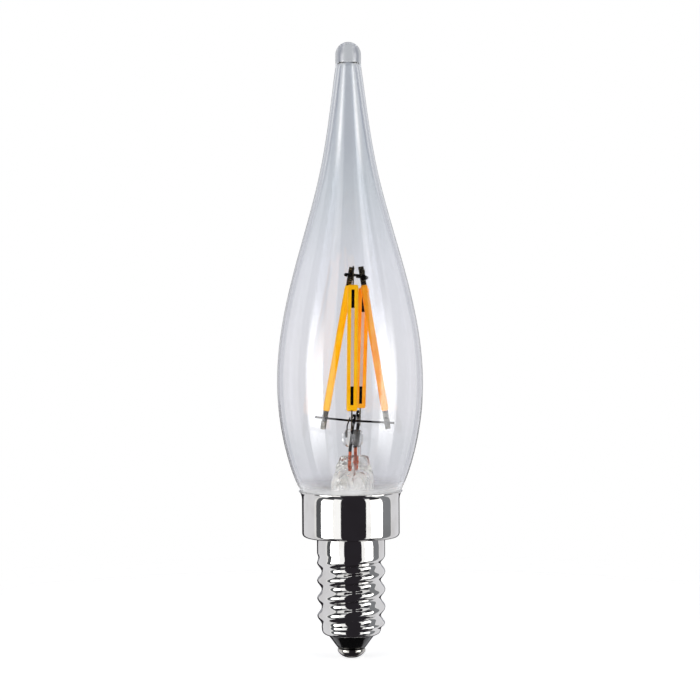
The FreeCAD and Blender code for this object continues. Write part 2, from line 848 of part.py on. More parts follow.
# A thin post from the bead holds the cross wire from the front.
post_depth = behind - size("cross_radius") - size("post_radius") - size("weld_gap")
post_points = [
    vec(size("post_foot_across"), post_depth, size("bead_level")),
    vec(size("post_foot_across"), post_depth, size("post_kink")),
    vec(size("post_head_across"), post_depth, size("post_head")),
]
post = wire("cross_wire_post", "post_radius", post_points, [size("post_bend")])
keep(post, "cross_wire_post")

# Two link wires join the upper tabs in pairs: left with front, and right
# with back. Each lies on the face of one tab and on the edge of the other.
link_behind = size("tab_thick") / 2 + size("link_radius") + size("weld_gap")
for side, other, depth, before, after in (
        ("left", "front", -1, "link_start", "link_end"),
        ("right", "back", 1, "link_end", "link_start")):
    at = size("strip_long") + size("link_" + side)
    near = strips[side].multVec(vec(0, 0, at))
    far = strips[other].multVec(vec(-size("tab_wide") / 2, 0, at))
    along = strips[other].Rotation.multVec(vec(0, 0, 1))
    far = far + along * ((near.z - far.z) / along.z)
    far_depth = far.y - depth * (size("link_radius") + size("link_clear"))
    points = [
        vec(near.x, depth * link_behind, near.z),
        vec(far.x, far_depth, near.z),
    ]
    toward = 1 if far.x > near.x else -1
    first = points[0] - vec(toward * size(before), 0, -size("link_tilt"))
    last = points[1] + vec(toward * size(after), 0, -size("link_tilt"))
    link_bend = [size("link_bend"), size("link_bend")]
    link = wire("link_" + other, "link_radius", [first] + points + [last], link_bend)
    keep(link, "top_link_" + other)

# Bead: two lobes of glass round the leads and the post, with a rod of
# glass down to the press.
lobes = []
for lobe in ("left_lobe", "right_lobe"):
    blob = turned(lobe, [
        ("axis", "bead_foot", "lobe_radius"),
        ("lobe_radius", "bead_low"),
        ("lobe_radius", "bead_high", "lobe_radius"),
        ("axis", "bead_head"),
    ])
    blob.Placement.Base = vec(size(lobe), 0, 0)
    lobes.append(blob)
rod_foot = vec(size("rod_across"), 0, size("press_top"))
lobes.append(rod("bead_rod", "rod_radius", size("bead_level") - size("press_top"), rod_foot))
bead_blank = fused("bead", lobes)
bead_holes = fused("bead_holes", [
    wire("front_hole", "lead_radius", front_points, lead_bend),
    wire("back_hole", "lead_radius", back_points, lead_bend),
    wire("post_hole", "post_radius", post_points, [size("post_bend")]),
])
bead = cut("lead_bead", bead_blank, bead_holes)
keep(bead, "lead_bead")


# Driver board and its parts, in the threaded wall above the insulator.
board = block("driver_board", "board_wide", "board_thick", "board_tall", vec(0, 0, size("board_foot")))
keep(board, "driver_board")
rectifier_at = vec(0, -(size("board_thick") + size("rectifier_deep")) / 2, size("rectifier_foot"))
rectifier = block("rectifier", "rectifier_wide", "rectifier_deep", "rectifier_tall", rectifier_at)
keep(rectifier, "rectifier")
chip_at = vec(0, (size("board_thick") + size("chip_deep")) / 2, size("chip_foot"))
chip = block("driver_chip", "chip_wide", "chip_deep", "chip_tall", chip_at)
keep(chip, "driver_chip")
resistor_at = vec(0, size("board_face") + size("resistor_radius"), size("resistor_foot"))
resistor = rod("fusible_resistor", "resistor_radius", size("resistor_long"), resistor_at)
keep(resistor, "fusible_resistor")

beside_board = size("board_face") + size("tail_radius") + size("weld_gap")
for side, seal_at, toward in (("front", front_seal_at, -1), ("back", back_seal_at, 1)):
    landing = toward * size("tail_spread")
    points = [
        seal_at,
        vec(seal_at.x, seal_at.y, seal_at.z - size("tail_straight")),
        vec(landing, toward * beside_board, size("board_top") + size("tail_clear")),
        vec(landing, toward * beside_board, size("board_top") - size("tail_overlap")),
    ]
    tail = wire("tail_" + side, "tail_radius", points, [size("tail_bend"), size("tail_bend")])
    keep(tail, "outer_lead_" + side)

supply_points = [
    vec(0, 0, size("solder_top")),
    vec(0, 0, size("shank_top") - size("supply_straight")),
    vec(0, -beside_board, size("board_foot") - size("supply_clear")),
    vec(0, -beside_board, size("board_foot") + size("tail_overlap")),
]
supply = wire("supply_lead", "tail_radius", supply_points, [size("tail_bend"), size("tail_bend")])
keep(supply, "supply_lead")

solder_at = vec(size("stub_bore") - size("solder_radius"), 0, size("shell_lead_level"))
drop = doc.addObject("Part::Sphere", "side_drop")
drop.setExpression("Radius", "sizes.solder_radius")
drop.Placement.Base = solder_at
keep(drop, "side_solder")
shell_points = [
    vec(size("shell_lead_across"), beside_board, size("shell_lead_level") - size("shell_lead_long")),
    vec(size("shell_lead_across"), beside_board, size("shell_lead_level")),
    vec(solder_at.x - size("solder_radius") - 2 * size("weld_gap"), size("tail_radius"), size("shell_lead_level")),
]
shell_lead = wire("shell_lead", "tail_radius", shell_points, [size("shell_lead_bend")])
keep(shell_lead, "shell_lead")


# Nothing is written unless every object is sound.
doc.recompute()
for made in doc.Objects:
    for state in made.State:
        if state in ("Invalid", "Error"):
            raise RuntimeError(made.Label + " failed: " + state)
for shown in nodes:
    if shown.Shape.isNull() or not shown.Shape.isValid():
        raise RuntimeError(shown.Label + " has no sound shape")

os.makedirs("parts", exist_ok=True)
for shown in nodes:
    shown.Shape.exportStep("parts/" + shown.Label + ".step")
    print(shown.Label, round(shown.Shape.Volume, 2))
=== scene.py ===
# %% [markdown]
# A candle bulb: clear glass, four amber light strips and a plated screw
# cap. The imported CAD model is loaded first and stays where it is. Every
# piece made below either gives one of its nodes a finish or stands in for
# one with a smoother shape.

# %% Load the frame
import math

import bmesh
import bpy
import numpy as np
from mathutils import Matrix, Vector, noise


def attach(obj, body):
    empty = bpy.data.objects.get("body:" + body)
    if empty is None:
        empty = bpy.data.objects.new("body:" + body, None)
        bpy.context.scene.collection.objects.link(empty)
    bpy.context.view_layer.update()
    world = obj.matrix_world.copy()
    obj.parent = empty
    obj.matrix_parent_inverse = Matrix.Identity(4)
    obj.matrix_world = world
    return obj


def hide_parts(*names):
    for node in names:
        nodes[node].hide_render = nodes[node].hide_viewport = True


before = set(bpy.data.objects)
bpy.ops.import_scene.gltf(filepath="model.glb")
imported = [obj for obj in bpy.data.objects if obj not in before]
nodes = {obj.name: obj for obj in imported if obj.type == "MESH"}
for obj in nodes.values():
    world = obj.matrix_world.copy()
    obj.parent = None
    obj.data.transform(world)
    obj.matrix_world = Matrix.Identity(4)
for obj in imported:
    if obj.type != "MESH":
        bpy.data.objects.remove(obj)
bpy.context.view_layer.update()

MM = 0.001
scene = bpy.context.scene
print("CAD nodes:", len(nodes))

# %% [markdown]
# The camera comes first. The photograph was taken from about 37 cm away,
# at the height of the strips' upper ends, looking a little down: the
# ellipses of the collar and the thread give that height. A small roll
# keeps the lamp's slight lean.

# %% Camera
PICTURE_PX = 700
FOCAL_PX = 2648
EYE = Vector((0.02, -369.0, 59.7)) * MM
PITCH = math.radians(2.56)
ROLL = math.radians(0.33)

camera_data = bpy.data.cameras.new("camera")
camera_data.angle = 2 * math.atan(PICTURE_PX / 2 / FOCAL_PX)
camera_data.clip_start = 0.01
camera = bpy.data.objects.new("camera", camera_data)
scene.collection.objects.link(camera)
look = Matrix.Rotation(math.radians(90) - PITCH, 4, "X") @ Matrix.Rotation(-ROLL, 4, "Z")
camera.matrix_world = Matrix.Translation(EYE) @ look
scene.camera = camera
print("camera angle:", round(math.degrees(camera_data.angle), 2))

# %% [markdown]
# Colours are written as they look on a screen and turned linear by one
# function. One more function adds a node to a material and links it up.
# Patterns repeat by the metre, so a scale of 1000 has grains of about
# 1 mm.

# %% Helpers for colours and nodes
def linear(code):
    """A colour such as #FFB400, turned linear."""
    parts = [int(code[i:i + 2], 16) / 255 for i in (1, 3, 5)]
    bright = [c / 12.92 if c <= 0.04045 else ((c + 0.055) / 1.055) ** 2.4 for c in parts]
    return (*bright, 1.0)


def add(tree, kind, settings=None, **links):
    """A new node. settings holds its properties by name, and the values of
    its sockets by name or number. Each link names a socket, with _ for a
    space, or in0, in1 and so on. Its source is a socket, or a node for
    that node's first output."""
    node = tree.nodes.new(kind)
    settings = settings or {}
    own = [key for key in settings if isinstance(key, str) and hasattr(node, key)]
    for key in own:
        setattr(node, key, settings[key])
    for key, value in settings.items():
        if key not in own:
            node.inputs[key].default_value = value
    for key, source in links.items():
        numbered = key.startswith("in") and key[2:].isdigit()
        socket = node.inputs[int(key[2:]) if numbered else key.replace("_", " ")]
        tree.links.new(getattr(source, "outputs", [source])[0], socket)
    return node


def new_material(name):
    """An empty material and its node tree."""
    material = bpy.data.materials.new(name)
    material.use_nodes = True
    material.node_tree.nodes.clear()
    return material, material.node_tree


# %% [markdown]
# A bulb is photographed between two tall softboxes, with black flags by
# the camera and above and below, because clear glass and a mirror finish
# show nothing but their surroundings. Area lights stand for the
# softboxes. What the lamp mirrors is a set of cards: each softbox has a
# bright core, a paler rim and a dark lip. The softboxes and the camera's
# flags are mirrored inside the envelope too. Grey cards at the sides and
# low black ones behind draw the metal's outlines, and two pale cards
# behind are seen only through the glass, which greys its edges. The world
# is white wherever it is seen, also past a metal or through the glass, and
# dimmer where it only lights.

# %% World and lights
world = bpy.data.worlds.new("studio")
scene.world = world
world.use_nodes = True
tree = world.node_tree
tree.nodes.clear()
rays = add(tree, "ShaderNodeLightPath")
seen = add(tree, "ShaderNodeMath", {"operation": "MAXIMUM"},
           in0=rays.outputs["Is Camera Ray"], in1=rays.outputs["Is Transmission Ray"])
seen = add(tree, "ShaderNodeMath", {"operation": "MAXIMUM"},
           in0=seen, in1=rays.outputs["Is Glossy Ray"])
lit = add(tree, "ShaderNodeMath", {"operation": "LESS_THAN", 1: 0.5},
          in0=rays.outputs["Diffuse Depth"])
seen = add(tree, "ShaderNodeMath", {"operation": "MULTIPLY"}, in0=seen, in1=lit)
plain = add(tree, "ShaderNodeBackground", {"Color": linear("#F4F6FA"), "Strength": 0.3})
white = add(tree, "ShaderNodeBackground", {"Color": (1, 1, 1, 1), "Strength": 1.0})
both = add(tree, "ShaderNodeMixShader", in0=seen, in1=plain, in2=white)
add(tree, "ShaderNodeOutputWorld", Surface=both)
scene.view_settings.view_transform = "Standard"


def facing(azimuth, distance, height):
    """An upright place round the lamp, or one above or below it that faces
    it. Azimuth 0 is the camera's side and 90 its right."""
    turn = math.radians(azimuth)
    place = Vector((math.sin(turn) * distance, -math.cos(turn) * distance, height))
    away = Vector((place.x, place.y, 0)) if distance > 0.01 else Vector((0, 0, height))
    return Matrix.Translation(place) @ away.to_track_quat("Z", "Y").to_matrix().to_4x4()


def softbox(name, azimuth, distance, height, wide, tall, radiance):
    """An area light that lights the lamp and isn't seen itself."""
    data = bpy.data.lights.new(name, "AREA")
    data.shape = "RECTANGLE"
    data.size = wide
    data.size_y = tall
    data.energy = radiance * math.pi * wide * tall
    light = bpy.data.objects.new(name, data)
    scene.collection.objects.link(light)
    light.matrix_world = facing(azimuth, distance, height)
    light.visible_camera = False
    light.visible_glossy = False
    light.visible_transmission = False


def flag(name, azimuth, distance, height, wide, tall, cloth, seen="reflected"):
    """A card that is seen reflected, through glass, or both."""
    bm = bmesh.new()
    bmesh.ops.create_grid(bm, x_segments=1, y_segments=1, size=0.5)
    bmesh.ops.scale(bm, vec=(wide, tall, 1), verts=bm.verts)
    bmesh.ops.transform(bm, matrix=facing(azimuth, distance, height), verts=bm.verts)
    mesh = bpy.data.meshes.new(name)
    bm.to_mesh(mesh)
    bm.free()
    mesh.materials.append(cloth)
    card = bpy.data.objects.new(name, mesh)
    scene.collection.objects.link(card)
    card.visible_camera = False
    card.visible_diffuse = False
    card.visible_glossy = seen != "through glass"
    card.visible_transmission = seen != "reflected"
    card.visible_shadow = False


def shown_mirrored(tree, glow):
    """The card is there for a ray that some surface has mirrored. Seen
    straight through the glass it is clear, from any side."""
    rays = add(tree, "ShaderNodeLightPath")
    mirrored = add(tree, "ShaderNodeMath", {"operation": "GREATER_THAN", 1: 0.5},
                   in0=rays.outputs["Glossy Depth"])
    clear = add(tree, "ShaderNodeBsdfTransparent")
    both = add(tree, "ShaderNodeMixShader", in0=mirrored, in1=clear, in2=glow)
    add(tree, "ShaderNodeOutputMaterial", Surface=both)


def card_cloth(name, tint, strength=1.0):
    """An even cloth that gives off its own tint."""
    material, tree = new_material(name)
    glow = add(tree, "ShaderNodeEmission", {"Color": linear(tint), "Strength": strength})
    shown_mirrored(tree, glow)
    return material


def softbox_face(radiance, foot, knee, shoulder, head):
    """The lit cloth as a mirror shows it: dark at the foot, full between
    knee and shoulder and dark again at the head. Levels are in metres."""
    material, tree = new_material("softbox_face")
    where = add(tree, "ShaderNodeTexCoord").outputs["Object"]
    height = add(tree, "ShaderNodeSeparateXYZ", Vector=where).outputs["Z"]
    rise = add(tree, "ShaderNodeMapRange", {
        "interpolation_type": "SMOOTHSTEP", "From Min": foot, "From Max": knee}, Value=height)
    fall = add(tree, "ShaderNodeMapRange", {
        "interpolation_type": "SMOOTHSTEP", "From Min": head, "From Max": shoulder,
        "To Max": radiance}, Value=height)
    strength = add(tree, "ShaderNodeMath", {"operation": "MULTIPLY"}, in0=rise, in1=fall)
    glow = add(tree, "ShaderNodeEmission", {"Color": (1, 1, 1, 1)}, Strength=strength)
    shown_mirrored(tree, glow)
    return material


softbox("softbox_left", -49.5, 0.42, 0.01, 0.307, 0.32, 4.4)
softbox("softbox_right", 58.5, 0.42, 0.01, 0.28, 0.32, 4.4)
lit_left = softbox_face(4.8, -0.33, -0.08, 0.06, 0.235)
lit_right = softbox_face(4.8, -0.28, -0.08, 0.06, 0.235)
rim_cloth = card_cloth("softbox_rim_cloth", "#FFFFFF", 1.3)
lip_cloth = card_cloth("dark_softbox_lip", "#5A5B60")
black_cloth = card_cloth("black_flag_cloth", "#2E2B30")
edge_cloth = card_cloth("grey_edge_cloth", "#A6A7AD")
side_cloth = card_cloth("pale_side_cloth", "#EDEDF1")
dark_cloth = card_cloth("dark_flag_cloth", "#606266")
grey_cloth = card_cloth("grey_flag_cloth", "#8C8E92")
behind_cloth, tree = new_material("pale_cloth_behind")
glow = add(tree, "ShaderNodeEmission", {"Color": linear("#D9DADF"), "Strength": 1.0})
add(tree, "ShaderNodeOutputMaterial", Surface=glow)

flag("softbox_face_left", -58.75, 0.42, 0.0, 0.221, 0.80, lit_left, "both")
flag("softbox_face_right", 64, 0.42, 0.0, 0.221, 0.80, lit_right, "both")
flag("softbox_rim_left", -48.5, 0.44, 0.0, 0.41, 0.72, rim_cloth, "both")
flag("softbox_rim_right", 58.5, 0.44, 0.0, 0.361, 0.72, rim_cloth, "both")
flag("softbox_lip_left", -48.5, 0.45, 0.0, 0.41, 1.3, lip_cloth, "both")
flag("softbox_lip_right", 58.5, 0.45, 0.0, 0.361, 1.3, lip_cloth, "both")
flag("flag_camera", 7.4, 0.60, 0.045, 0.728, 2.3, black_cloth, "both")
flag("flag_camera_tall", 3, 0.61, 0.045, 0.24, 7.0, black_cloth, "both")
flag("flag_left", -81.2, 0.50, 0.045, 0.137, 1.2, dark_cloth)
flag("flag_right", 94.75, 0.50, 0.045, 0.248, 1.2, grey_cloth)
flag("side_left", -124, 0.60, 0.045, 0.66, 3.0, side_cloth)
flag("side_right", 136, 0.60, 0.045, 0.56, 3.0, side_cloth)
flag("edge_left", -164, 0.62, -0.40, 0.36, 0.78, black_cloth)
flag("edge_right", 168, 0.62, -0.40, 0.26, 0.78, black_cloth)
flag("edge_left_high", -164, 0.62, 0.48, 0.36, 1.0, edge_cloth)
flag("edge_right_high", 168, 0.62, 0.48, 0.26, 1.0, edge_cloth)
flag("behind_left", -149, 0.62, 0.0, 0.30, 2.4, behind_cloth, "through glass")
flag("behind_right", 149, 0.62, 0.0, 0.30, 2.4, behind_cloth, "through glass")
flag("flag_above", 0, 0.001, 1.25, 1.1, 1.1, black_cloth)
flag("flag_below", 0, 0.001, -0.65, 0.9, 0.9, black_cloth)
print("lights and flags placed")

# %% [markdown]
# The floor is a pale disc that fades into the white round it, so that it
# shows the lamp's soft shadow and no edge.

# %% Floor
bm = bmesh.new()
bmesh.ops.create_circle(bm, cap_ends=True, segments=96, radius=0.2)
bmesh.ops.translate(bm, vec=(0, 0, -0.00002), verts=bm.verts)
floor_mesh = bpy.data.meshes.new("floor")
bm.to_mesh(floor_mesh)
bm.free()
floor = bpy.data.objects.new("floor", floor_mesh)
scene.collection.objects.link(floor)
floor.visible_glossy = False

pale, tree = new_material("pale_floor")
matt = add(tree, "ShaderNodeBsdfDiffuse", {"Color": linear("#F1F1F1")})
glow = add(tree, "ShaderNodeEmission", {"Color": (1, 1, 1, 1), "Strength": 0.7})
lit = add(tree, "ShaderNodeAddShader", in0=matt, in1=glow)
where = add(tree, "ShaderNodeTexCoord").outputs["Object"]
far = add(tree, "ShaderNodeVectorMath", {"operation": "LENGTH"}, in0=where)
fade = add(tree, "ShaderNodeMapRange", {"From Min": 0.03, "From Max": 0.12},
           Value=far.outputs["Value"])
clear = add(tree, "ShaderNodeBsdfTransparent")
mix = add(tree, "ShaderNodeMixShader", in0=fade, in1=lit, in2=clear)
add(tree, "ShaderNodeOutputMaterial", Surface=mix)
floor_mesh.materials.append(pale)

# %% [markdown]
# Most of the lamp is turned work: blown on a spindle, drawn over a punch
# or rolled. So its pieces start as outlines, which bmesh spins round the
# axis. Where an outline ends on the axis, merging the doubles closes the
# pole.

# %% Spin an outline
def finished(name, bm):
    """The bmesh as an object: doubles merged, normals outwards, smooth."""
    bmesh.ops.remove_doubles(bm, verts=bm.verts, dist=0.0000005)
    bmesh.ops.recalc_face_normals(bm, faces=bm.faces)
    for face in bm.faces:
        face.smooth = True
    open_edges = sum(edge.is_boundary for edge in bm.edges)
    print(name, len(bm.faces), "faces, open edges:", open_edges)
    mesh = bpy.data.meshes.new(name)
    bm.to_mesh(mesh)
    bm.free()
    piece = bpy.data.objects.new(name, mesh)
    scene.collection.objects.link(piece)
    return piece


def spin_outlines(outlines, steps=128, unit=MM):
    """outlines: chains of radius and level, each spun a full circle."""
    bm = bmesh.new()
    for chain in outlines:
        verts = [bm.verts.new((r * unit, 0, z * unit)) for r, z in chain]
        edges = [bm.edges.new(pair) for pair in zip(verts, verts[1:])]
        bmesh.ops.spin(
            bm, geom=verts + edges, cent=(0, 0, 0), axis=(0, 0, 1), dvec=(0, 0, 0),
            angle=2 * math.pi, steps=steps,
            use_merge=True, use_normal_flip=False, use_duplicate=False)
    bmesh.ops.remove_doubles(bm, verts=bm.verts, dist=0.0005 * unit)
    return bm


def arc(centre, radius, start, end, steps):
    """Points of an arc, in degrees from the outward direction."""
    points = []
    for i in range(steps + 1):
        turn = math.radians(start + (end - start) * i / steps)
        points.append((centre[0] + radius * math.cos(turn), centre[1] + radius * math.sin(turn)))
    return points


def put(piece, material, slot, *replaced):
    """Hands the piece over with its material and hides the CAD nodes that it stands in for. slot is
    not used."""
    piece.data.materials.clear()
    piece.data.materials.append(material)
    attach(piece, "root")
    if replaced:
        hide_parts(*replaced)
    return piece


# %% [markdown]
# The glass widens from the neck to the belly and runs out to the tip in
# one smooth curve. It is drawn through a few stations, with a smooth
# slope at each: a line of equations makes the bend agree on both sides.

# %% Smooth curve through stations
GLASS = [
    (21.5, 6.2), (23.45, 6.95), (28.0, 8.7), (37.5, 10.16), (47.0, 9.39),
    (58.0, 6.69), (68.0, 4.03), (82.8, 1.75),
]


def smooth_curve(stations, first_slope, last_slope):
    """A function of the level. Each station is a level and its value."""
    levels = np.array([station[0] for station in stations])
    values = np.array([station[1] for station in stations])
    gaps = np.diff(levels)
    rates = np.diff(values) / gaps
    rows = np.eye(len(stations))
    ends = np.zeros(len(stations))
    ends[0], ends[-1] = first_slope, last_slope
    for i in range(1, len(stations) - 1):
        rows[i, i - 1:i + 2] = gaps[i], 2 * (gaps[i - 1] + gaps[i]), gaps[i - 1]
        ends[i] = 3 * (gaps[i] * rates[i - 1] + gaps[i - 1] * rates[i])
    slopes = np.linalg.solve(rows, ends)

    def at(level):
        i = int(np.clip(np.searchsorted(levels, level) - 1, 0, len(gaps) - 1))
        share = (level - levels[i]) / gaps[i]
        rise = values[i + 1] - values[i]
        lift = slopes[i] * gaps[i] - rise
        sink = rise - slopes[i + 1] * gaps[i]
        bend = share * (1 - share) * (lift * (1 - share) + sink * share)
        return values[i] + rise * share + bend

    return at


glass_radius = smooth_curve(GLASS, 0.0, -0.14)
print("belly:", round(glass_radius(37.5), 2), "throat:", round(glass_radius(68.0), 2))

# %% [markdown]
# Clear soda-lime glass, blown: it is smooth and has an index of 1.5. The wall takes away a little
# light at each surface and in its depth, so the lamp looks pale grey on white and darker where the
# wall is seen edge on. Its tint is also painted darker by level, a little towards the collar and
# more towards the neck and the tip: a painted shade.
# Light has to reach the strips through it, so shadow rays pass straight on. Faint waves from the
# blowing keep its reflections from being ruled lines. The stem's glass is worked far more, so it is
# lumpy and cloudy; its white streaks are partly painted highlights, and its milky parts give off a
# painted glow.

# %% Bulb glass
GLASS_DEPTH = (0.0, 0.03, 0.06, 1)


def glass_shader(tree, where, wave_mm, depth_mm):
    """Smooth clear glass with faint waves, and its colour left open."""
    waves = add(tree, "ShaderNodeTexNoise", {"Scale": 1 / (wave_mm * MM), "Detail": 1.0},
                Vector=where)
    relief = add(tree, "ShaderNodeBump", {"Strength": 1.0, "Distance": depth_mm * MM},
                 Height=waves)
    return add(tree, "ShaderNodeBsdfPrincipled", {
        "Roughness": 0.0, "IOR": 1.5, "Transmission Weight": 1.0}, Normal=relief)


def let_light_through(tree, shader, loss=0.0):
    """Shadow rays pass the piece. loss is how strongly the glass absorbs in
    its depth, per metre: red most and blue least."""
    clear = add(tree, "ShaderNodeBsdfTransparent")
    rays = add(tree, "ShaderNodeLightPath")
    mix = add(tree, "ShaderNodeMixShader",
              in0=rays.outputs["Is Shadow Ray"], in1=shader, in2=clear)
    depth = add(tree, "ShaderNodeVolumeAbsorption", {"Color": GLASS_DEPTH, "Density": loss})
    add(tree, "ShaderNodeOutputMaterial", Surface=mix, Volume=depth)


bulb_glass, tree = new_material("blown_soda_lime_glass")
where = add(tree, "ShaderNodeTexCoord").outputs["Object"]
height = add(tree, "ShaderNodeSeparateXYZ", Vector=where).outputs["Z"]
PAINTED_SHADE_TONES = [  # level as a share of 100 mm, and the painted shade of the glass's tint there
    (0.24, "#E7E7EB"), (0.30, "#EBECEF"), (0.34, "#F0F0F3"), (0.42, "#F2F2F5"),
    (0.55, "#EFF0F4"), (0.60, "#E9EBEF"), (0.66, "#E3E6EA"), (0.72, "#DCDFE4"),
    (0.80, "#DBDEE3"), (0.829, "#DBDEE3"), (0.832, "#C8CBD0"),
]
level = add(tree, "ShaderNodeMapRange", {"From Max": 100 * MM}, Value=height)
tone = add(tree, "ShaderNodeValToRGB", in0=level)
ramp = tone.color_ramp.elements
for element, (place, code) in zip(ramp, (PAINTED_SHADE_TONES[0], PAINTED_SHADE_TONES[-1])):
    element.position = place
    element.color = linear(code)
for place, code in PAINTED_SHADE_TONES[1:-1]:
    ramp.new(place).color = linear(code)

# Two thin lines down the neck, where the glass's tint turns white, are painted highlights. Each
# one's direction from the axis is given by its share of +X.
PAINTED_HIGHLIGHTS = (-0.47, 0.5)
HIGHLIGHT_EDGE, HIGHLIGHT_CORE = 0.15, 0.02
across = add(tree, "ShaderNodeVectorMath", {"operation": "MULTIPLY", 1: (1, 1, 0)}, in0=where)
across = add(tree, "ShaderNodeVectorMath", {"operation": "NORMALIZE"}, in0=across)
across = add(tree, "ShaderNodeSeparateXYZ", Vector=across).outputs["X"]
amount = add(tree, "ShaderNodeMapRange", {
    "interpolation_type": "SMOOTHSTEP", "From Min": 66 * MM, "From Max": 74 * MM}, Value=height)
tint = tone
for place in PAINTED_HIGHLIGHTS:
    off = add(tree, "ShaderNodeMath", {"operation": "SUBTRACT", 1: place}, in0=across)
    off = add(tree, "ShaderNodeMath", {"operation": "ABSOLUTE"}, in0=off)
    line = add(tree, "ShaderNodeMapRange", {
        "interpolation_type": "SMOOTHSTEP", "From Min": HIGHLIGHT_EDGE, "From Max": HIGHLIGHT_CORE},
        Value=off)
    line = add(tree, "ShaderNodeMath", {"operation": "MULTIPLY"}, in0=line, in1=amount)
    tint = add(tree, "ShaderNodeMix", {"data_type": "RGBA", 7: (1, 1, 1, 1)},
               in0=line, in6=tint).outputs[2]
glass = glass_shader(tree, where, 9.0, 0.004)
tree.links.new(tint, glass.inputs["Base Color"])

# A white diffuse layer on the glass just above the rim is painted light: it brightens the neck
# where the collar keeps the light from it.
painted_light_above_rim = add(tree, "ShaderNodeBsdfDiffuse", {"Color": linear("#FAFAFA")})
amount = add(tree, "ShaderNodeMapRange", {
    "From Min": 25.2 * MM, "From Max": 23.6 * MM, "To Max": 0.42}, Value=height)
glass = add(tree, "ShaderNodeMixShader", in0=amount, in1=glass, in2=painted_light_above_rim)
let_light_through(tree, glass, 40.0)

# Worked in a flame again and again, the stem's glass is cloudy and streaked. The white streaks,
# stretched up and down, also stand in for bright reflections, so they are partly painted
# highlights. The milky parts give off a faint glow, which is painted light.
stem_glass, tree = new_material("flame_worked_stem_glass")
where = add(tree, "ShaderNodeTexCoord").outputs["Object"]
glass = glass_shader(tree, where, 0.9, 0.14)
glass.inputs["Base Color"].default_value = linear("#F8F8F4")
streaks_and_painted_highlights = add(tree, "ShaderNodeMapping", {"Scale": (1.0, 1.0, 0.25)}, Vector=where)
cloud = add(tree, "ShaderNodeTexNoise", {"Scale": 700.0, "Detail": 1.0, "Distortion": 0.8},
            Vector=streaks_and_painted_highlights)
amount = add(tree, "ShaderNodeMapRange", {
    "From Min": 0.47, "From Max": 0.58, "To Min": 0.03, "To Max": 0.75}, Value=cloud)
milk_white = linear("#FFFEFA")
# The milk's emission is painted light.
milk = add(tree, "ShaderNodeBsdfPrincipled", {
    "Base Color": milk_white, "Roughness": 0.15,
    "Emission Color": milk_white, "Emission Strength": 0.3})
glow = add(tree, "ShaderNodeBsdfTranslucent", {"Color": milk_white})
cloudy = add(tree, "ShaderNodeMixShader", {"Fac": 0.2}, in1=milk, in2=glow)
height = add(tree, "ShaderNodeSeparateXYZ", Vector=where).outputs["Z"]
low = add(tree, "ShaderNodeMapRange", {
    "From Min": 27.6 * MM, "From Max": 25.4 * MM, "To Min": 0.12}, Value=height)
amount = add(tree, "ShaderNodeMath", {"operation": "MULTIPLY"}, in0=amount, in1=low)
both = add(tree, "ShaderNodeMixShader", in0=amount, in1=glass, in2=cloudy)
let_light_through(tree, both)

# %% Envelope
SEAL = 18.2
NECK_BORE, NECK_RADIUS = 5.6, 6.2
NECK_BEND = 19.8
WALL = 0.6
DROP_RADIUS = 1.78
TALL = 86.0

outside = []
inside = []
for level in np.linspace(GLASS[0][0], GLASS[-1][0], 120):
    below, above = max(level - 0.01, GLASS[0][0]), min(level + 0.01, GLASS[-1][0])
    slope = (glass_radius(above) - glass_radius(below)) / (above - below)
    stretch = math.hypot(1, slope)
    outside.append((glass_radius(level), level))
    inside.append((glass_radius(level) - WALL / stretch, level + WALL * slope / stretch))

outside = [(NECK_BORE, SEAL), (NECK_RADIUS, SEAL), (NECK_RADIUS, NECK_BEND)] + outside
outside += [(1.755, 83.0), (DROP_RADIUS, 83.15), (DROP_RADIUS, 83.7)]
outside += arc((0, TALL - DROP_RADIUS), DROP_RADIUS, 0, 90, 16)[:-1] + [(0, TALL)]
inside = [(NECK_BORE, SEAL), (NECK_BORE, NECK_BEND)] + inside
inside += [(1.0, 83.25), (0.55, 83.42), (0, 83.48)]
envelope = finished("glass_envelope_blown", spin_outlines([outside, inside], 160))
put(envelope, bulb_glass, "bulb_glass", "glass_envelope")

# %% [markdown]
# The screw cap is one sheet of brass, drawn to a cup and plated with
# bright nickel. The thread is rolled in: the outline is spun plain, and
# each ring is then pressed in by the depth of a round groove that climbs
# one pitch in each turn.

# %% Plated metal
def metal_finish(name, tint, shade, roughness, mark_mm, depth_mm, spot_mm=2.9):
    """A bright metal with fine marks that run round the axis, where it was
    drawn or rolled, and a faint shade where handling has dulled it."""
    material, tree = new_material(name)
    where = add(tree, "ShaderNodeTexCoord").outputs["Object"]
    stretch = add(tree, "ShaderNodeMapping", {"Scale": (0.1, 0.1, 1.0)}, Vector=where)
    marks = add(tree, "ShaderNodeTexNoise", {"Scale": 1 / (mark_mm * MM), "Detail": 3.0},
                Vector=stretch)
    spots = add(tree, "ShaderNodeTexNoise", {"Scale": 1 / (spot_mm * MM), "Detail": 2.0},
                Vector=where)
    rough = add(tree, "ShaderNodeMapRange", {
        "From Min": 0.3, "From Max": 0.7, "To Min": roughness * 0.7, "To Max": roughness * 1.4},
        Value=marks)
    dull = add(tree, "ShaderNodeMapRange", {"From Min": 0.45, "From Max": 0.75}, Value=spots)
    tone = add(tree, "ShaderNodeMix", {"data_type": "RGBA", 6: linear(tint), 7: linear(shade)},
               in0=dull).outputs[2]
    relief = add(tree, "ShaderNodeBump", {"Strength": 0.5, "Distance": depth_mm * MM}, Height=marks)
    metal = add(tree, "ShaderNodeBsdfPrincipled", {"Metallic": 1.0},
                Base_Color=tone, Roughness=rough, Normal=relief)
    add(tree, "ShaderNodeOutputMaterial", Surface=metal)
    return material


bright_nickel = metal_finish("bright_nickel_plate", "#DEDDDB", "#D2D0CD", 0.05, 0.3, 0.0007)

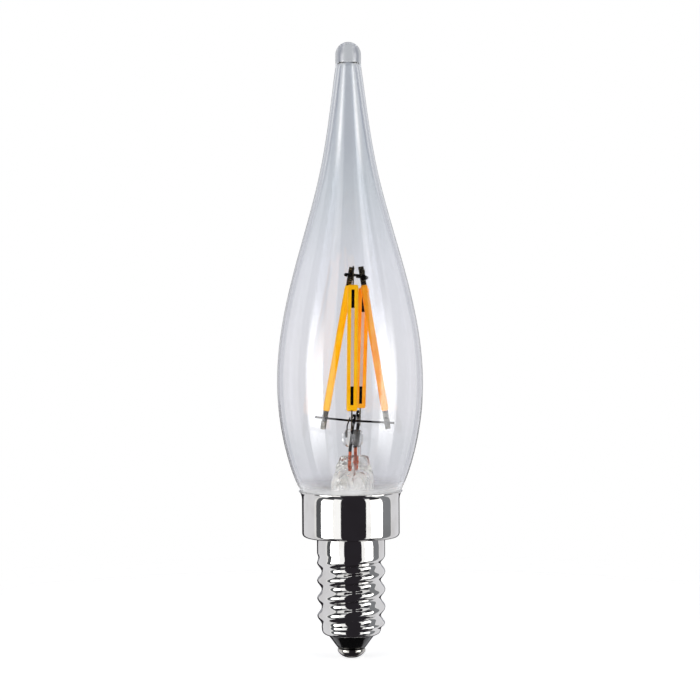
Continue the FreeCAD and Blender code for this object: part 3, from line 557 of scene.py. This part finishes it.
# %% Screw shell
SHEET = 0.22
CREST = 4.765
DEPTH = 0.62
THREAD_PITCH = 2.49
CREST_START = 12.2
THREAD_TOP, THREAD_BOTTOM = 14.9, 4.1
RUN_IN, RUN_OUT = 1.5, 0.9
COLLAR = 6.82


def ease(share):
    """0 to 1 with a soft start and end."""
    share = min(max(share, 0.0), 1.0)
    return share * share * (3 - 2 * share)


def roll_thread(bm):
    """Presses the thread's groove into the plain tube between its levels.
    It fades in below the stub and goes full round above the lip."""
    for vert in bm.verts:
        level = vert.co.z / MM
        if THREAD_BOTTOM - 0.0001 <= level <= THREAD_TOP:
            angle = math.atan2(vert.co.y, vert.co.x)
            phase = 2 * math.pi * (level - CREST_START) / THREAD_PITCH - angle
            wave = (1 - math.cos(phase)) / 2
            wave += (1 - wave) * (1 - ease((level - THREAD_BOTTOM) / RUN_OUT))
            press = DEPTH * wave * ease((THREAD_TOP - level) / RUN_IN)
            radius = math.hypot(vert.co.x, vert.co.y)
            squeeze = (radius - press * MM) / radius
            vert.co.x *= squeeze
            vert.co.y *= squeeze


def sheet_side(offset):
    """One side of the sheet, from the curled lip up to the flared rim.
    Outlines are in mm here and below, as radius and level."""
    side = CREST - offset
    step = 17.05 + offset
    lip = arc((3.345, 4.1), 0.8 - offset, -90, 0, 8)[:-1]
    thread = [(side, level) for level in np.linspace(THREAD_BOTTOM, THREAD_TOP, 150)]
    shoulder = [(side, 16.0), (side, step - 0.15), (side + 0.05, step - 0.04), (side + 0.18, step)]
    corner = arc((6.22, 17.65), 0.6 - offset, -90, 0, 8)
    collar = [(COLLAR - offset, level) for level in (18.2, 21.9, 22.4)]
    flared = [(6.855, 22.7), (6.93, 23.0), (7.06, 23.28), (7.25, 23.5)]
    rim = [(radius - offset, level) for radius, level in flared]
    return lip + thread + shoulder + corner + collar + rim


around = sheet_side(0.0) + sheet_side(SHEET)[::-1]
bm = spin_outlines([around + around[:1]], 160)
roll_thread(bm)
shell = finished("screw_shell_rolled", bm)
put(shell, bright_nickel, "plated_shell", "screw_shell")

# %% [markdown]
# The insulator is a cone of black glass, poured into the mouth of the cap
# and cooled in a mould: deep black, with a glossy, slightly wavy skin.

# %% Black glass and its cone
black_glass, tree = new_material("poured_black_glass")
where = add(tree, "ShaderNodeTexCoord").outputs["Object"]
wavy = add(tree, "ShaderNodeTexNoise", {"Scale": 900.0, "Detail": 2.0}, Vector=where)
relief = add(tree, "ShaderNodeBump", {"Strength": 0.5, "Distance": 0.03 * MM}, Height=wavy)
gloss = add(tree, "ShaderNodeBsdfPrincipled", {
    "Base Color": linear("#060606"), "Roughness": 0.1, "IOR": 1.55}, Normal=relief)
add(tree, "ShaderNodeOutputMaterial", Surface=gloss)

cone = [(0.95, 1.42), (1.75, 1.42), (1.9, 1.47), (2.3, 2.0), (2.75, 2.62), (3.15, 3.15)]
cone += [(3.325, 3.4), (3.325, 3.54), (3.7, 3.72), (3.88, 4.0), (3.905, 4.1)]
cone += [(3.905, 5.4), (0.95, 5.4)]
insulator = finished("insulator_cone", spin_outlines([cone + cone[:1]], 96))
put(insulator, black_glass, "black_glass", "insulator")

# %% [markdown]
# The centre contact is a hollow rivet of tinned brass with a rolled edge.
# A drop of solder closes its hole over the supply wire.

# %% Centre contact
tinned = metal_finish("tinned_brass", "#C9C6C0", "#AAA69E", 0.12, 0.4, 0.003)
solder_metal = metal_finish("soft_solder", "#BDBDBB", "#9C9C9A", 0.28, 0.6, 0.01)
rivet = [(0.4, 0.14), (0.5, 0.12)] + arc((0.252, 2.057), 2.0, -75.6, -31.9, 14)
rivet += arc((1.83, 1.25), 0.12, 0, 90, 5) + [(0.95, 1.419), (0.95, 5.0), (0.4, 5.0)]
contact = finished("centre_contact_rivet", spin_outlines([rivet + rivet[:1]], 96))
put(contact, tinned, "contact_metal", "centre_contact")
plug = [(0, 0.0), (0.2, 0.03), (0.33, 0.075), (0.4, 0.12), (0.4, 0.62), (0, 0.62)]
solder = finished("contact_solder_drop", spin_outlines([plug], 48))
put(solder, solder_metal, "solder", "contact_solder")

# %% [markdown]
# The stem is a glass tube, flared at its foot to close the neck and
# squeezed flat while hot at its head, where the seal wires pass through.
# It is spun as a round tube and then pressed: from level to level its
# depth falls against its width and its middle moves off the axis. The
# flame has left its upper part faintly lumpy.

# %% Stem
STEM_FOOT, TUBE_FOOT = 17.6, 21.5
TUBE_RADIUS, TUBE_BORE = 3.05, 2.5
LUMPY_FROM, LUMP_MM = 24.0, 0.3
PRESSED = [  # level, depth against width, shift in mm
    (17.0, 1.0, 0.0), (21.5, 1.0, 0.0), (23.1, 0.99, 0.175), (25.5, 0.955, 0.35),
    (27.0, 0.575, 0.49), (27.7, 0.523, 0.6), (28.6, 0.567, 0.6),
]
half_width = smooth_curve([
    (TUBE_FOOT, TUBE_RADIUS), (23.1, TUBE_RADIUS), (25.5, 2.8), (27.0, 2.4), (27.7, 2.2)],
    0.0, -0.4)
hollow_width = smooth_curve([
    (TUBE_FOOT, TUBE_BORE), (23.1, TUBE_BORE), (25.5, 1.95), (26.2, 1.1)], 0.0, -1.8)


def flare(radius, foot):
    """The bell from the neck's bore at the foot to the tube above it."""
    across = NECK_BORE - radius
    rise = TUBE_FOOT - foot
    bend = (across ** 2 + rise ** 2) / (2 * across)
    reach = math.degrees(math.asin(rise / bend))
    return arc((radius + bend, TUBE_FOOT), bend, 180 + reach, 180, 14)


tube = [(NECK_RADIUS, STEM_FOOT), (NECK_RADIUS, SEAL)] + flare(TUBE_RADIUS, SEAL)
tube += [(half_width(level), level) for level in np.linspace(21.6, 27.7, 34)]
tube += [(2.07, 28.0), (1.88, 28.3), (1.55, 28.5), (1.1, 28.58), (0.6, 28.6), (0, 28.6)]
hollow = [(NECK_RADIUS, STEM_FOOT)] + flare(TUBE_BORE, STEM_FOOT)
hollow += [(hollow_width(level), level) for level in np.linspace(21.6, 26.2, 24)]
hollow += [(0.7, 26.36), (0, 26.42)]
bm = spin_outlines([tube, hollow], 96)
levels, depths, shifts = zip(*PRESSED)
for vert in bm.verts:
    level = vert.co.z / MM
    vert.co.y *= np.interp(level, levels, depths)
    vert.co.x += np.interp(level, levels, shifts) * MM
    if level > LUMPY_FROM:
        lump = LUMP_MM * min((level - LUMPY_FROM) / 2, 1) * noise.noise(vert.co / MM * 0.9)
        vert.co += Vector((vert.co.x, vert.co.y, 0)).normalized() * lump * MM
stem = finished("stem_pressed", bm)
put(stem, stem_glass, "stem_glass", "stem")

# %% [markdown]
# The bead that ties the leads is two gathers of glass, melted together
# round the wires, with a thin rod down to the press. Two spun drops and a
# rod overlap here, in millimetres, and a remesh joins them as the flame
# did.

# %% Bead
GATHERS = [  # radius, foot, head and distance across, in mm
    (0.86, 29.7, 32.2, -0.25), (0.86, 29.72, 32.18, 0.95), (0.2, 28.45, 31.0, 1.25),
]
gathers = bmesh.new()
for radius, foot, head, across in GATHERS:
    chain = [(0, foot)] + arc((0, foot + radius), radius, -80, 0, 9)
    chain += arc((0, head - radius), radius, 0, 80, 9) + [(0, head)]
    drop = spin_outlines([chain], 48, unit=1.0)
    bmesh.ops.recalc_face_normals(drop, faces=drop.faces)
    bmesh.ops.translate(drop, vec=(across, 0, 0), verts=drop.verts)
    mesh = bpy.data.meshes.new("gather")
    drop.to_mesh(mesh)
    drop.free()
    gathers.from_mesh(mesh)
    bpy.data.meshes.remove(mesh)
blank = finished("bead_blank", gathers)
melt = blank.modifiers.new("melt", "REMESH")
melt.mode = "VOXEL"
melt.voxel_size = 0.05
soften = blank.modifiers.new("soften", "SMOOTH")
soften.iterations = 6
bm = bmesh.new()
bm.from_mesh(blank.evaluated_get(bpy.context.evaluated_depsgraph_get()).data)
bmesh.ops.scale(bm, vec=(MM, MM, MM), verts=bm.verts)
bpy.data.objects.remove(blank)
bead = finished("lead_bead_melted", bm)
put(bead, stem_glass, "stem_glass", "lead_bead")

# %% [markdown]
# The strips' coats are silicone, cast over both faces of each base with
# amber phosphor stirred in. The silicone is soft-edged and lets light
# into its skin. The pieces are copies of the CAD coats with every outer
# edge rounded.

# %% Coats
def phosphor_silicone(name, tint, pale):
    """The phosphor turns the blue part of the studio's light amber. The coat stands for that with a
    glow in its own colour, whatever light falls on it, which is painted light."""
    material, tree = new_material(name)
    where = add(tree, "ShaderNodeTexCoord").outputs["Object"]
    grain = add(tree, "ShaderNodeTexNoise", {"Scale": 700.0, "Detail": 4.0}, Vector=where)
    amount = add(tree, "ShaderNodeMapRange", {"From Min": 0.35, "From Max": 0.65}, Value=grain)
    tone = add(tree, "ShaderNodeMix", {"data_type": "RGBA", 6: linear(tint), 7: linear(pale)},
               in0=amount).outputs[2]
    relief = add(tree, "ShaderNodeBump", {"Strength": 0.4, "Distance": 0.04 * MM}, Height=grain)
    # The emission is a painted glow in the coat's own colour.
    skin = add(tree, "ShaderNodeBsdfPrincipled", {
        "Roughness": 0.32, "IOR": 1.42, "Specular IOR Level": 0.3, "Subsurface Weight": 0.1,
        "Subsurface Radius": (0.6 * MM, 0.3 * MM, 0.05 * MM), "Subsurface Scale": 1.0,
        "Emission Strength": 0.4}, Base_Color=tone, Emission_Color=tone, Normal=relief)
    add(tree, "ShaderNodeOutputMaterial", Surface=skin)
    return material


amber = phosphor_silicone("amber_phosphor_silicone", "#FFB400", "#FFC31C")
orange = phosphor_silicone("orange_phosphor_silicone", "#FF9A08", "#FFAE2E")
COATS = {"left": (amber, "amber_coat"), "front": (amber, "amber_coat"),
         "right": (orange, "orange_coat"), "back": (orange, "orange_coat")}


def softened(name, node, offset_mm):
    """A merged copy of a CAD node with its outer edges rounded."""
    bm = bmesh.new()
    bm.from_mesh(nodes[node].data)
    bmesh.ops.remove_doubles(bm, verts=bm.verts, dist=0.000001)
    bmesh.ops.dissolve_limit(bm, angle_limit=math.radians(1), verts=bm.verts, edges=bm.edges)
    corner = math.radians(50)
    sharp = [edge for edge in bm.edges
             if len(edge.link_faces) == 2 and edge.is_convex and edge.calc_face_angle() > corner]
    bmesh.ops.bevel(bm, geom=sharp, offset=offset_mm * MM, offset_type="OFFSET", segments=3,
                    profile=0.5, affect="EDGES", clamp_overlap=True, material=-1)
    return finished(name, bm)


for side, (finish, slot) in COATS.items():
    put(softened("coat_cast_" + side, "coat_" + side, 0.05), finish, slot, "coat_" + side)

# %% [markdown]
# What stays as the CAD model has it gets its finish here: the ceramic bases, the stamped clips, the
# wires, and the driver inside the cap. The ceramic's warm pink tint is painted light, the coats'
# orange glow on white. The leads are nickel above their seals and copper-clad below; their nickel,
# the other nickel wires, the cross wire and the links are painted near black, a painted shade for
# the dark surroundings that they mirror. The clips' bars are painted dark inside the coats, a
# painted shade where they sit between them.

# %% Finishes for the carried-over nodes
def moulded(name, tint, shade, roughness, grain_mm, depth_mm):
    """A material that was cast or pressed, with a fine uneven grain."""
    material, tree = new_material(name)
    where = add(tree, "ShaderNodeTexCoord").outputs["Object"]
    grain = add(tree, "ShaderNodeTexNoise", {"Scale": 1 / (grain_mm * MM), "Detail": 4.0},
                Vector=where)
    tone = add(tree, "ShaderNodeMix", {"data_type": "RGBA", 6: linear(tint), 7: linear(shade)},
               in0=grain).outputs[2]
    relief = add(tree, "ShaderNodeBump", {"Strength": 0.6, "Distance": depth_mm * MM},
                 Height=grain)
    skin = add(tree, "ShaderNodeBsdfPrincipled", {"Roughness": roughness},
               Base_Color=tone, Normal=relief)
    add(tree, "ShaderNodeOutputMaterial", Surface=skin)
    return material


def welded_lead(name, joint_mm):
    """Nickel wire above the level of its joint, painted near black as painted shade, and
    copper-clad below.
    """
    material, tree = new_material(name)
    where = add(tree, "ShaderNodeTexCoord").outputs["Object"]
    marks = add(tree, "ShaderNodeTexNoise", {"Scale": 3000.0, "Detail": 3.0}, Vector=where)
    height = add(tree, "ShaderNodeSeparateXYZ", Vector=where).outputs["Z"]
    over = add(tree, "ShaderNodeMapRange", {
        "From Min": (joint_mm - 0.05) * MM, "From Max": (joint_mm + 0.05) * MM}, Value=height)
    # The nickel part is painted near black: painted shade for the dark surroundings it mirrors.
    tone = add(tree, "ShaderNodeMix", {
        "data_type": "RGBA", 6: linear("#C96A48"), 7: linear("#1B1A18")}, in0=over).outputs[2]
    rough = add(tree, "ShaderNodeMapRange", {"To Min": 0.2, "To Max": 0.4}, Value=marks)
    metal = add(tree, "ShaderNodeBsdfPrincipled", {"Metallic": 1.0},
                Base_Color=tone, Roughness=rough)
    add(tree, "ShaderNodeOutputMaterial", Surface=metal)
    return material


def painted_shade_between(material, foot_mm, head_mm, tint):
    """Painted shade: the metal is darker between two levels, where it sits inside the coats."""
    tree = material.node_tree
    metal = next(node for node in tree.nodes if node.type == "BSDF_PRINCIPLED")
    where = add(tree, "ShaderNodeTexCoord").outputs["Object"]
    height = add(tree, "ShaderNodeSeparateXYZ", Vector=where).outputs["Z"]
    rise = add(tree, "ShaderNodeMapRange", {
        "From Min": (foot_mm - 0.1) * MM, "From Max": (foot_mm + 0.1) * MM}, Value=height)
    fall = add(tree, "ShaderNodeMapRange", {
        "From Min": (head_mm + 0.1) * MM, "From Max": (head_mm - 0.1) * MM}, Value=height)
    within = add(tree, "ShaderNodeMath", {"operation": "MULTIPLY"}, in0=rise, in1=fall)
    tone = add(tree, "ShaderNodeMix", {"data_type": "RGBA", 7: linear(tint)},
               in0=within, in6=metal.inputs["Base Color"].links[0].from_socket)
    tree.links.new(tone.outputs[2], metal.inputs["Base Color"])


copper_clad = metal_finish("copper_clad_seal_wire", "#D0643C", "#A04428", 0.3, 0.2, 0.01)
# The nickel wire is painted dark grey: painted shade for the dark surroundings it mirrors.
nickel_wire = metal_finish("drawn_nickel_wire", "#4A4743", "#262422", 0.25, 0.2, 0.01)
# The cross wire and the links are painted near black: painted shade for the dark surroundings they
# mirror.
painted_dark_wire = metal_finish("wire_painted_dark", "#1C1A18", "#0E0D0C", 0.3, 0.2, 0.01)
clip_steel = metal_finish("stamped_plated_clip", "#948A70", "#1E1B17", 0.25, 0.3, 0.01, 0.7)
# The clips' bars are painted dark inside the coats: painted shade.
painted_shade_between(clip_steel, 35.1, 51.8, "#1E1C19")
# The ceramic's warm pink tint is painted light: the coats' orange glow on white ceramic.
ceramic = moulded("fired_translucent_ceramic", "#FFEDE4", "#FFDCCB", 0.4, 0.4, 0.01)
cement_paste = moulded("baked_capping_cement", "#FBFAF7", "#EFECE4", 0.85, 0.5, 0.05)
laminate = moulded("coated_glass_fibre_board", "#1F5A3A", "#184A30", 0.35, 0.8, 0.01)
resin = moulded("moulded_black_resin", "#16161A", "#202024", 0.55, 0.2, 0.01)
dipped = moulded("dipped_ceramic_resistor", "#7C9079", "#6B7F69", 0.45, 0.5, 0.02)

FINISH = {
    "capping_cement": cement_paste, "seal_wire_front": copper_clad, "seal_wire_back": copper_clad,
    "lead_front": welded_lead("welded_lead_front", 29.05),
    "lead_back": welded_lead("welded_lead_back", 29.65),
    "cross_wire": painted_dark_wire, "cross_wire_post": nickel_wire, "top_link_front": painted_dark_wire,
    "top_link_back": painted_dark_wire, "outer_lead_front": nickel_wire, "outer_lead_back": nickel_wire,
    "supply_lead": nickel_wire, "shell_lead": nickel_wire, "side_solder": solder_metal,
    "driver_board": laminate, "rectifier": resin, "driver_chip": resin, "fusible_resistor": dipped,
}
for side in COATS:
    FINISH["base_" + side] = ceramic
    FINISH["lower_clip_" + side] = clip_steel
    FINISH["upper_clip_" + side] = clip_steel
for node, finish in FINISH.items():
    nodes[node].data.materials.clear()
    nodes[node].data.materials.append(finish)
print("finished nodes:", len(FINISH))

# %% [markdown]
# Small marks of the assembly finish the mount: nuggets where the wires
# were spot-welded to the tabs, the left tab's end, twisted by the pliers
# that closed it, and the dark collar of oxide where a lead leaves the
# bead.

# %% Marks of the assembly
burnt_weld = metal_finish("burnt_spot_weld", "#24211E", "#100F0E", 0.35, 0.15, 0.02)
clean_weld = metal_finish("clean_spot_weld", "#D9D8D4", "#B9B6AF", 0.18, 0.15, 0.01)


def nugget(name, at, sizes, seed, finish):
    """A flattened, uneven drop of metal. at and sizes are in mm."""
    bm = bmesh.new()
    bmesh.ops.create_icosphere(bm, subdivisions=3, radius=MM)
    for vert in bm.verts:
        vert.co *= 1 + 0.3 * noise.noise(vert.co / MM * 1.7 + Vector((seed, 0, 0)))
    bmesh.ops.scale(bm, vec=sizes, verts=bm.verts)
    bmesh.ops.translate(bm, vec=Vector(at) * MM, verts=bm.verts)
    put(finished(name, bm), finish, "nickel_wire")


nugget("weld_right_head", (2.02, -0.19, 53.28), (0.48, 0.18, 0.4), 1.0, burnt_weld)
nugget("weld_link_left", (-0.46, -0.3, 53.66), (0.28, 0.24, 0.26), 2.0, burnt_weld)
nugget("weld_front_foot", (0.3, -5.75, 34.15), (0.24, 0.24, 0.26), 3.0, clean_weld)
nugget("weld_back_foot", (1.28, 6.38, 33.95), (0.2, 0.22, 0.26), 4.0, clean_weld)
nugget("weld_cross_left", (-3.5, -0.13, 33.8), (0.44, 0.1, 0.17), 5.0, burnt_weld)
nugget("weld_cross_right", (5.17, -0.13, 33.0), (0.42, 0.12, 0.2), 6.0, burnt_weld)

# %% Twisted end of the left tab
bm = bmesh.new()
bmesh.ops.create_grid(bm, x_segments=4, y_segments=12, size=0.5)
for vert in bm.verts:
    share = 0.5 - vert.co.y
    turn = math.radians(20 + 75 * share)
    wide = vert.co.x * (0.62 + 0.35 * share)
    depth = -wide * math.sin(turn) - 0.12 - 0.25 * share
    vert.co = Vector((wide * math.cos(turn), depth, -0.85 * share)) * MM
bmesh.ops.translate(bm, vec=Vector((-3.72, 0, 33.05)) * MM, verts=bm.verts)
bmesh.ops.recalc_face_normals(bm, faces=bm.faces)
fold = finished("tab_twist_left", bm)
thick = fold.modifiers.new("sheet", "SOLIDIFY")
thick.thickness = 0.14 * MM
put(fold, clip_steel, "clip_steel")

# %% Oxide collar
collar = finished("oxide_collar", spin_outlines([arc((0.22, 0), 0.1, -180, 180, 12)], 24))
collar.data.transform(Matrix.Translation(Vector((0.66, 0.45, 29.66)) * MM))
put(collar, burnt_weld, "nickel_wire")
